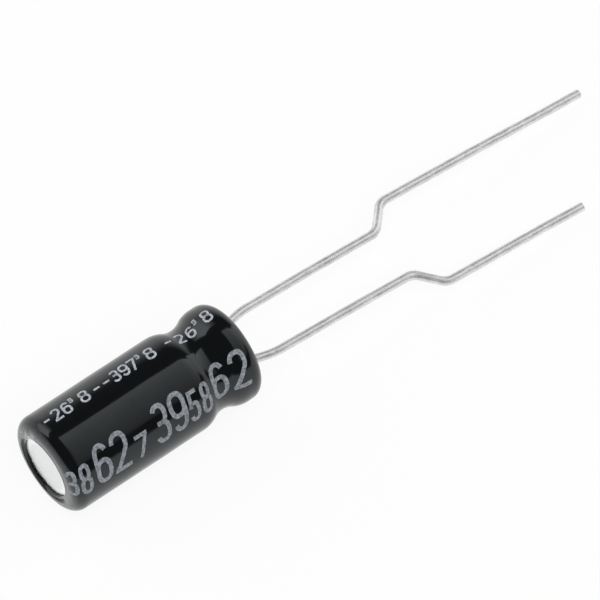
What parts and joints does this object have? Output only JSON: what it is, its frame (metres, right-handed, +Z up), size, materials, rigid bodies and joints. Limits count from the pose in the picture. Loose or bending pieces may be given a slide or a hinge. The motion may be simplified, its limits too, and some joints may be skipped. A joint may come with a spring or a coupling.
{
  "type": "electrolytic capacitor",
  "caption": "Radial aluminium electrolytic capacitor, 5 by 11 mm class, in a black sleeve, lying on its side with two formed tinned leads of different length.",
  "frame": {"origin": "on the surface that the part lies on, under the middle of its overall length, from the closed end of the can to the tip of the longer lead, and under the can's axis", "axes": "+X along the can's axis from the closed end to the leads, +Z up from the surface, +Y towards the longer lead's side"},
  "size_m": [0.035, 0.006, 0.0052],
  "materials": {
    "sleeve": "glossy black shrink film with light grey figures",
    "can": "satin drawn aluminium",
    "seal": "dull dark rubber",
    "tab": "plain aluminium",
    "lead": "dull tin plating over copper-clad steel, drawn lengthways",
    "anode": "matt etched aluminium foil",
    "cathode": "matt etched aluminium foil",
    "separator": "soaked kraft paper",
    "tape": "thin film tape"
  },
  "bodies": {
    "root": {"sleeve": "sleeve", "can": "can", "rubber_seal": "seal", "positive_tab": "tab", "negative_tab": "tab", "positive_lead": "lead", "negative_lead": "lead", "anode_foil": "anode", "inner_separator": "separator", "cathode_foil": "cathode", "outer_separator": "separator", "winding_tape": "tape"}
  },
  "joints": []
}
